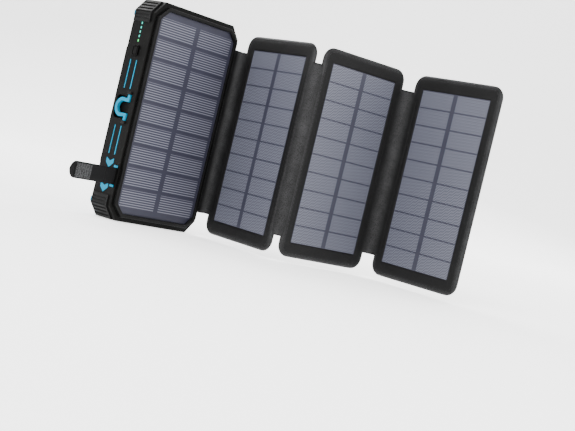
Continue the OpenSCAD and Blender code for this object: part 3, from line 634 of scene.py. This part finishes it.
def panel_skin(n):
    """Leather round a stiff board: a soft round rim, a stitched groove and a window for the film.
    front and back hold (side margin, end margin, depth, corner radius), and rim holds (margin, depth)."""
    front = [(SIDE + 0.3, END + 0.3, 0.74, 0.6), (SIDE, END, 0.72, 0.8), (SIDE - 0.1, END - 0.1, 0.42, 0.9),
             (SIDE - 0.6, END - 0.6, 0.3, 1.3), (SIDE - 1.6, END - 1.6, 0.24, 2.0),
             (6.0, 7.0, 0.14, 3.2), (4.2, 4.6, 0.03, 4.8), (3.1, 3.2, 0.06, 5.9),
             (GROOVE_SIDE, GROOVE_END, 0.2, GROOVE_R), (2.4, 2.4, 0.08, 6.6)]
    rim = [(1.7, 0.12), (1.05, 0.38), (0.5, 0.85), (0.14, 1.4), (0.0, 2.0),
           (0.14, 2.6), (0.5, 3.15), (1.05, 3.62), (1.7, 3.88)]
    back = [(2.4, 2.4, 3.92, 6.6), (GROOVE_SIDE, GROOVE_END, 3.8, GROOVE_R), (3.1, 3.2, 3.94, 5.9),
            (4.6, 5.0, 4.0, 4.6), (9, 11, 4.02, 3), (16, 24, 4.04, 3), (26, 44, 4.04, 3),
            (36, 62, 4.02, 2), (39.8, 70, 4.02, 0.5)]
    rings = front + [(d, d, y, PANEL_R - d) for d, y in rim] + back
    verts = []
    for a, b, y, r in rings:
        uneven = 2.0 < a < SIDE - 0.4 or a > 4 and y > 3
        for x, z in rounded_ring(PANEL_W / 2 - a, PANEL_L / 2 - b, r):
            wobble = 0.05 * soft_noise(x, z, n + (3 if y > 2 else 0)) if uneven else 0
            verts.append(((x + MID[0]) * MM, (y + wobble) * MM, (z + MID[1]) * MM))
    count = len(verts) // len(rings)
    faces = [f[::-1] for f in bridge(len(rings), count)]
    faces.append(tuple((len(rings) - 1) * count + k for k in range(count)))
    skin = make(f"panel_{n}_skin", verts, [f[::-1] for f in faces], hide)
    modifier(skin, "SUBSURF", levels=1, render_levels=1)
    return skin


def stitch_line(half_x, half_z, radius, y, pitch=3.1, length=2.2):
    """Stitches that follow a rounded rectangle."""
    ring = rounded_ring(half_x, half_z, radius, corner=10, side_x=2, side_z=2)
    ring.append(ring[0])
    distance, pairs = [0.0], []
    for p, q in zip(ring, ring[1:]):
        distance.append(distance[-1] + math.hypot(q[0] - p[0], q[1] - p[1]))
    total = distance[-1]

    def at(s):
        s %= total
        k = int(np.searchsorted(distance, s, side="right")) - 1
        k = min(k, len(ring) - 2)
        t = (s - distance[k]) / max(1e-9, distance[k + 1] - distance[k])
        (x0, z0), (x1, z1) = ring[k], ring[k + 1]
        return x0 + (x1 - x0) * t, z0 + (z1 - z0) * t

    count = int(total / pitch)
    for k in range(count):
        s = total * k / count
        (x0, z0), (x1, z1) = at(s), at(s + length)
        pairs.append(((x0 + MID[0], y, z0 + MID[1]), (x1 + MID[0], y, z1 + MID[1])))
    return pairs


def panel(n):
    place = panel_matrix(n)
    body = f"panel_{n}"
    skin = panel_skin(n)
    pairs = []
    for y in (0.16, PANEL_T - 0.14):
        pairs += stitch_line(PANEL_W / 2 - GROOVE_SIDE, PANEL_L / 2 - GROOVE_END, GROOVE_R, y)
    verts, faces = capsules(pairs, 0.24)
    stitches = make(f"panel_{n}_stitches", verts, faces, thread)
    # The sheet runs on under the leather's edge
    half_x, half_z = PANEL_W / 2 - SIDE + 0.9, PANEL_L / 2 - END + 0.9
    points = [(half_x, half_z), (-half_x, half_z), (-half_x, -half_z), (half_x, -half_z)]
    sheet = plate(f"panel_{n}_solar_sheet", points, [(0, 0), (0, 0.7)], panel_film)
    sheet.location = (MID[0] * MM, 0.74 * MM, MID[1] * MM)
    bpy.context.view_layer.update()
    sheet.matrix_world = place @ sheet.matrix_world
    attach(sheet, body)
    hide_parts(f"panel_{n}_film")
    for piece in (skin, stitches):
        piece.matrix_world = place
        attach(piece, body)
    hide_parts(f"panel_{n}_frame", f"panel_{n}_cover", f"panel_{n}_board")


for number in (1, 2, 3):
    panel(number)


# ---------------------------------------------------------------- leather folds
def bezier(p0, p1, p2, p3, t):
    u = 1 - t
    return p0 * u ** 3 + p1 * 3 * u * u * t + p2 * 3 * u * t * t + p3 * t ** 3


def fold(name, start, start_dir, end, end_dir, side, reach, round_off=0.45, dive=(0.3, 0.3)):
    """One strip of leather that turns smoothly from start to end. Its path is in X and Y; side is the
    direction of its outer face, reach is how far it runs on past both ends and dive is how far it
    sinks under the skins there."""
    steps, rows, thick = 26, 22, 1.3
    pull = (end - start).length * round_off
    before = start - start_dir * reach - Vector((-start_dir.y, start_dir.x)) * side * dive[0]
    after = end + end_dir * reach - Vector((-end_dir.y, end_dir.x)) * side * dive[1]
    curve = (start, start + start_dir * pull, end - end_dir * pull, end)
    path = [before] + [bezier(*curve, t / steps) for t in range(steps + 1)] + [after]
    along = [0.0]
    for p, q in zip(path, path[1:]):
        along.append(along[-1] + (q - p).length)
    verts, uv = [], []
    for k, point in enumerate(path):
        t = (path[min(len(path) - 1, k + 1)] - path[max(0, k - 1)]).normalized()
        normal = Vector((-t.y, t.x)) * side
        u = along[k] / along[-1]
        swell = 0.05 * math.sin(math.pi * u)
        profile = []
        for i in range(rows + 1):
            z = MID_Z - FOLD_LENGTH / 2 + FOLD_LENGTH * i / rows
            half = thick / 2 * {0: 0.55, 1: 0.92}.get(min(i, rows - i), 1.0)
            half *= 1 + 0.05 * soft_noise(along[k] * 3, z, 4)
            profile.append((half, z))
        for half, z in profile:
            verts.append(Vector((*(point + normal * (half + swell)), z)) * MM)
            uv.append((FOLD_U * u, z))
        for half, z in reversed(profile):
            verts.append(Vector((*(point - normal * half), z)) * MM)
            uv.append((FOLD_U * u + FOLD_INNER, z))
    count = 2 * (rows + 1)
    faces = bridge(len(path), count)
    faces.append(tuple(range(count))[::-1])
    faces.append(tuple((len(path) - 1) * count + k for k in range(count)))
    strip = make(name, verts, faces, hide_bend, uv=uv)
    modifier(strip, "SUBSURF", levels=1, render_levels=1)
    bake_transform(strip)


def edge_point(n, x, y):
    corner, angle = PLACES[n - 1]
    return corner + turned(angle, x, y)


def edge_dir(n):
    return turned(PLACES[n - 1][1], 1, 0)


bezel_lo, bezel_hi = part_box("front_bezel")
leather_mid = LEATHER / 2 + 0.05
flush = leather_mid - 0.01
FRONT_IN, BACK_IN = 5.4, 1.2  # how far in from a panel's edge a strip begins
fold("fold_1_leather", Vector((bezel_hi.x / MM + 0.9, bezel_lo.y / MM + leather_mid)),
     Vector((1, 0)), edge_point(1, FRONT_IN, flush), edge_dir(1), -1, 1.0, dive=(0.0, 0.5))
fold("fold_2_leather", edge_point(1, PANEL_W - BACK_IN, PANEL_T - leather_mid),
     edge_dir(1), edge_point(2, BACK_IN, PANEL_T - leather_mid), edge_dir(2), 1, 1.6)
fold("fold_2_outer_leather", edge_point(1, PANEL_W - FRONT_IN, flush),
     edge_dir(1), edge_point(2, FRONT_IN, flush), edge_dir(2), -1, 1.0, round_off=0.5, dive=(0.5, 0.5))
fold("fold_3_leather", edge_point(2, PANEL_W - FRONT_IN, flush),
     edge_dir(2), edge_point(3, FRONT_IN, flush), edge_dir(3), -1, 1.0, dive=(0.5, 0.5))
dress("loop_patch", loops, 0.15)

# ---------------------------------------------------------------- closing strap
lo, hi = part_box("strap_root")
STRAP_Z, STRAP_W, STRAP_T = (lo.z + hi.z) / 2 / MM, (hi.z - lo.z) / MM, (hi.y - lo.y) / MM
STRAP_START = hi.x / MM
ROOT_BEND, OUTER_BEND = joint_axis("strap_root_bend"), joint_axis("strap_end_bend")
LEAN = math.degrees(math.atan2(ROOT_BEND.y - OUTER_BEND.y, ROOT_BEND.x - OUTER_BEND.x))
STRAP_SIDE = (OUTER_BEND - ROOT_BEND).length
STRAP_END = STRAP_SIDE + STRAP_TIP


def flat_oval(count, blunt_x, blunt_y):
    """A flat section with round edges, within -1 to 1 both ways."""
    points = []
    for k in range(count):
        a = 2 * math.pi * (k + 0.5) / count
        c, s = math.cos(a), math.sin(a)
        points.append((math.copysign(abs(c) ** blunt_x, c), math.copysign(abs(s) ** blunt_y, s)))
    return points


def strap_place(s, y):
    """A point in X and Y: s runs out along the strap from its root bend, and y is off its middle plane.
    The strap leaves the case straight and takes up its lean over the 4 mm around the bend."""
    t = min(1.0, max(0.0, (s + 2) / 4))
    t = t * t * (3 - 2 * t)
    return ROOT_BEND + Vector((-s, y)).lerp(turned(LEAN, -s, y), t)


def strap(name, stations):
    """A strap with soft edges; stations are (distance from the root bend, half width) pairs."""
    profile = flat_oval(20, 0.35, 0.55)
    count = len(profile)
    verts, uv = [], []
    for reach, half in stations:
        for c, s in profile:
            verts.append(Vector((*strap_place(reach, s * STRAP_T / 2), STRAP_Z + c * half)) * MM)
            uv.append((-reach, STRAP_Z + c * half + (20 if s > 0 else 0)))
    faces = [f[::-1] for f in bridge(len(stations), count)]
    faces.append(tuple(range(count)))
    faces.append(tuple((len(stations) - 1) * count + k for k in reversed(range(count))))
    return make(name, verts, faces, strap_skin, uv=uv)


def even(x0, x1, step=0.6):
    """Numbers from x0 to x1 about a step apart."""
    count = max(2, int(abs(x1 - x0) / step))
    return [x0 + (x1 - x0) * k / count for k in range(count + 1)]


half_strap = STRAP_W / 2
seam = STRAP_SIDE / 2
inner = strap("strap_inner", [(s, half_strap) for s in even(ROOT_BEND.x - STRAP_START, seam)])
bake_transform(inner)
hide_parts("strap_root")
round_at = STRAP_END - half_strap
tip = [(s, half_strap) for s in even(seam + 0.3, round_at)]
for k in range(1, 13):
    a = math.pi / 2 * k / 12
    tip.append((round_at + math.sin(a) * half_strap, max(0.25, math.cos(a) * half_strap)))
outer = strap("strap_outer", tip)
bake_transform(outer)
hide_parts("strap_side")
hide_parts("strap_tip")
dress("hook_patch", hook, 0.25)
# Stitches run round the hook patch, a little inside its edge
s0, s1 = STRAP_END - 22, STRAP_END - 6
z0, z1 = STRAP_Z - half_strap + 1.9, STRAP_Z + half_strap - 1.9
stitches = [((s, z), (s + 1.3, z)) for z in (z0, z1) for s in np.arange(s0, s1 - 1.0, 1.9)]
stitches += [((s, z), (s, z + 1.2)) for s in (s0, s1) for z in np.arange(z0 + 0.6, z1 - 1.2, 1.8)]
pairs = [[(*strap_place(s, -STRAP_T / 2 - PATCH_SEAM), z) for s, z in ends] for ends in stitches]
verts, faces = capsules(pairs, 0.16)
sewn = make("hook_patch_stitches", verts, faces, thread)
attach(sewn, "strap_end")

# ---------------------------------------------------------------- charging leads
LEAD_X = [sum(c.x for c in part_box(f"lead_{k}_cable")) / 2 / MM for k in (1, 2, 3, 4)]
lo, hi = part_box("lead_1_cable")
LEAD_Y, LEAD_W = (lo.y + hi.y) / 2 / MM, (hi.x - lo.x) / MM
LEAD_T = (hi.y - lo.y) / MM
PIVOT = lo.z / MM + LEAD_T / 2


def lead(n):
    """A flat lead: out of the cable end, round the bend and up its groove to the plug's grip."""
    x0 = LEAD_X[n - 1]
    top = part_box(f"lead_{n}_grip")[0].z / MM + 0.8
    bend = 1.7
    path = [(y, PIVOT) for y in even(LEAD_Y - 5.5, LEAD_Y - bend, 0.8)]
    path += [(LEAD_Y - bend + bend * math.sin(a), PIVOT + bend - bend * math.cos(a))
             for a in np.linspace(0, math.pi / 2, 9)[1:]]
    path += [(LEAD_Y, z) for z in even(PIVOT + bend, top, 1.6)[1:]]
    profile = flat_oval(16, 0.45, 0.6)
    count = len(profile)
    verts, uv, along = [], [], 0.0
    for k, (y, z) in enumerate(path):
        a, b = path[max(0, k - 1)], path[min(len(path) - 1, k + 1)]
        ty, tz = b[0] - a[0], b[1] - a[1]
        size = math.hypot(ty, tz)
        ty, tz = ty / size, tz / size
        if k:
            along += math.hypot(y - path[k - 1][0], z - path[k - 1][1])
        for c, s in profile:
            verts.append(Vector((x0 + c * LEAD_W / 2, y + tz * s * LEAD_T / 2, z - ty * s * LEAD_T / 2)) * MM)
            uv.append((c * 3 + (10 if s > 0 else 0), along))
    faces = bridge(len(path), count)
    faces.append(tuple(range(count))[::-1])
    faces.append(tuple((len(path) - 1) * count + k for k in range(count)))
    strip = make(f"lead_{n}_strip", verts, faces, jacket_uv, uv=uv)
    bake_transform(strip)
    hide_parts(f"lead_{n}_cable")
    dress(f"lead_{n}_grip", jacket, 0.45, 35, 3)


def jacket_material():
    p = Paint("lead_jacket_uv", rgb("080808"), 0.5, Specular_IOR_Level=0.1)
    place = p.place(True)
    fine = p.noise(place, 2.4, 2, 0.6)
    ridge = p.math("SINE", p.math("MULTIPLY", p.axis(place, 0), 2 * math.pi / 1.0))
    drift = p.noise(place, 0.08, 3, 0.5)
    p.color(p.mix(p.span(p.math("ADD", drift, p.math("MULTIPLY", fine, 0.3)), 0.4, 0.9, 0, 1),
                  rgb("050505"), rgb("0c0c0c")))
    p.roughness(p.span(drift, 0.3, 0.7, 0.42, 0.58))
    p.bump(p.math("ADD", p.math("MULTIPLY", ridge, 0.4), fine), 0.2, 0.08)
    return p.material


jacket_uv = jacket_material()
for number in (1, 2, 3, 4):
    lead(number)
for number in (2, 3):
    dress(f"lead_{number}_plug", nickel, 0.12, 40)


def contact_metal(name, base, light, rough, metallic, face):
    """Gold contacts stand proud of the plug's face; the rest is the given finish."""
    p = Paint(name, rgb(base), rough, metallic)
    place = p.place()
    y = p.axis(place, 1)
    proud = p.span(y, face - 0.04, face - 0.02, 0, 1)
    cloud = p.span(p.noise(place, 0.6, 3, 0.6), 0.35, 0.65, 0, 1)
    body = p.mix(cloud, rgb(base), rgb(light))
    shine = p.mix(cloud, rgb("b98a2f"), rgb("e8c66c"))
    p.color(p.mix(proud, body, shine))
    p.link(p.span(proud, 0, 1, metallic, 1), p.shader.inputs["Metallic"])
    p.roughness(p.span(p.noise(place, 1.6, 2, 0.6), 0.3, 0.7, rough - 0.05, rough + 0.05))
    p.bump(p.noise(place, 2.0, 2, 0.6), 0.1, 0.04)
    return p.material


for number, *finish in ((1, "c9ccd0", "eceef0", 0.24, 1.0), (4, "15161a", "202226", 0.4, 0.0)):
    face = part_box(f"lead_{number}_plug")[1].y / MM
    dress(f"lead_{number}_plug", contact_metal(f"plug_{number}_faces", *finish, face), 0.04, 40)


# ---------------------------------------------------------------- finger recesses
def scoops():
    """Four glossy concave scoops past the plugs' noses, each a circle cut off below its middle."""
    lo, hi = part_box("finger_trays")
    floor, top = lo.y / MM + 0.15, hi.y / MM
    cut, rings, spokes = -1.4, 10, 36
    low = math.asin(cut / RECESS_R)
    verts, faces = [], []
    for x0 in LEAD_X:
        base = len(verts)
        for i in range(rings + 1):
            f = i / rings
            depth = floor + (top - floor) * f ** 3.2
            for k in range(spokes + 1):
                a = low + (math.pi - 2 * low) * k / spokes
                x, z = RECESS_R * math.cos(a) * f, cut + (RECESS_R * math.sin(a) - cut) * f
                verts.append(Vector((x0 + x, depth, RECESS_Z + z)) * MM)
        faces += [f[::-1] for f in bridge(rings + 1, spokes + 1, closed_u=False, start=base)]
    return make("finger_scoops", verts, faces, blue)


bowls = scoops()
modifier(bowls, "SOLIDIFY", thickness=0.25 * MM, offset=-1)
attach(bowls, "case")
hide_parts("finger_trays")


# ---------------------------------------------------------------- label marks
def marks():
    """Plain dashes that stand for a label's lines, and a row of simple signs."""
    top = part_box("label_plate")[1].y / MM
    boxes = []
    rng = np.random.default_rng(7)

    def dashes(z, x0, x1, height, words):
        lengths = rng.uniform(*words, 40)
        x, k = x0, 0
        while x < x1 - words[0]:
            reach = min(lengths[k], x1 - x)
            boxes.append((x, x + reach, z - height / 2, z + height / 2))
            x += reach + height * 0.75
            k += 1

    dashes(128.2, -19, 19, 1.9, (4.5, 8.5))
    for k, half_line in enumerate((15.5, 17.5, 16.5, 18.5, 15, 18, 17, 12)):
        dashes(123.4 - 2.75 * k, -half_line, half_line, 0.85, (2.0, 5.2))
    verts, faces = [], []
    for x0, x1, z0, z1 in boxes:
        base = len(verts)
        r = min(0.22, (z1 - z0) / 3)
        ring = [(x0 + r, z0), (x1 - r, z0), (x1, z0 + r), (x1, z1 - r),
                (x1 - r, z1), (x0 + r, z1), (x0, z1 - r), (x0, z0 + r)]
        for y in (top - 0.02, top + 0.03):
            verts += [Vector((x, y, z)) * MM for x, z in ring]
        faces += [f[::-1] for f in bridge(2, 8, start=base)]
        faces.append(tuple(base + 8 + k for k in reversed(range(8))))
    for k, sides in enumerate((24, 4, 3, 24, 4, 6)):
        cx, cz = -13.0 + 5.2 * k, 96.5
        base = len(verts)
        for radius, y in ((1.7, top - 0.02), (1.7, top + 0.03), (1.25, top + 0.03), (1.25, top - 0.02)):
            for i in range(sides):
                a = 2 * math.pi * i / sides + math.pi / 4
                verts.append(Vector((cx + radius * math.cos(a), y, cz + radius * math.sin(a))) * MM)
        faces += [f[::-1] for f in bridge(4, sides, start=base)]
    return make("label_marks", verts, faces, print_ink, smooth=False)


ink = marks()
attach(ink, "case")


# ---------------------------------------------------------------- floor and light
def stage():
    """A pale seamless floor that curves up far behind the object. It lies a hair below the object,
    so that no two faces share a plane."""
    verts, cols = [], 25
    bend = 1.2
    profile = [(-4, 0), (-2, 0), (0, 0), (bend, 0)]
    for a in np.linspace(0, math.pi / 2, 12)[1:]:
        profile.append((bend + bend * math.sin(a), bend - bend * math.cos(a)))
    profile += [(2 * bend, 3.0), (2 * bend, 5.0)]
    ahead, aside = Vector((forward.x, forward.y, 0)).normalized(), Vector((level.x, level.y, 0)).normalized()
    for d, h in profile:
        for k in range(cols):
            s = -5 + 10 * k / (cols - 1)
            verts.append(ahead * d + aside * s + Vector((0, 0, h - 0.3 * MM)))
    make("studio_floor", verts, bridge(len(profile), cols, closed_u=False), floor_material())


def floor_material():
    p = Paint("studio_paper", (0.94, 0.94, 0.94), 0.8)
    place = p.place(scale=(1, 1, 1))
    shade = p.mix(p.span(p.noise(place, 2.0, 3, 0.5), 0.3, 0.7, 0, 1), (0.93, 0.93, 0.93), (0.96, 0.96, 0.96))
    p.shine(shade, 1.3)
    return p.material


stage()


TARGET = Vector((0.05, -0.05, 0.08))


def softbox(name, location, width, height, power):
    """A rectangular light that faces TARGET, near the object's middle."""
    data = bpy.data.lights.new(name, "AREA")
    data.shape = "RECTANGLE"
    data.size, data.size_y = width, height
    data.energy = power
    obj = bpy.data.objects.new(name, data)
    bpy.context.scene.collection.objects.link(obj)
    obj.location = location
    obj.rotation_mode = "QUATERNION"
    obj.rotation_quaternion = (TARGET - Vector(location)).to_track_quat("-Z", "Y")


softbox("key", (-1.1, -0.5, 1.1), 0.9, 0.9, 26)
softbox("fill", (0.5, -1.5, 0.7), 1.2, 0.8, 16)
softbox("back", (0.3, 1.3, 1.0), 1.2, 0.8, 22)
softbox("side", (1.4, 0.4, 0.7), 0.8, 0.8, 12)
world = bpy.data.worlds.new("studio")
bpy.context.scene.world = world
world.use_nodes = True
world.node_tree.nodes["Background"].inputs["Color"].default_value = (1, 1, 1, 1)
world.node_tree.nodes["Background"].inputs["Strength"].default_value = 1.25
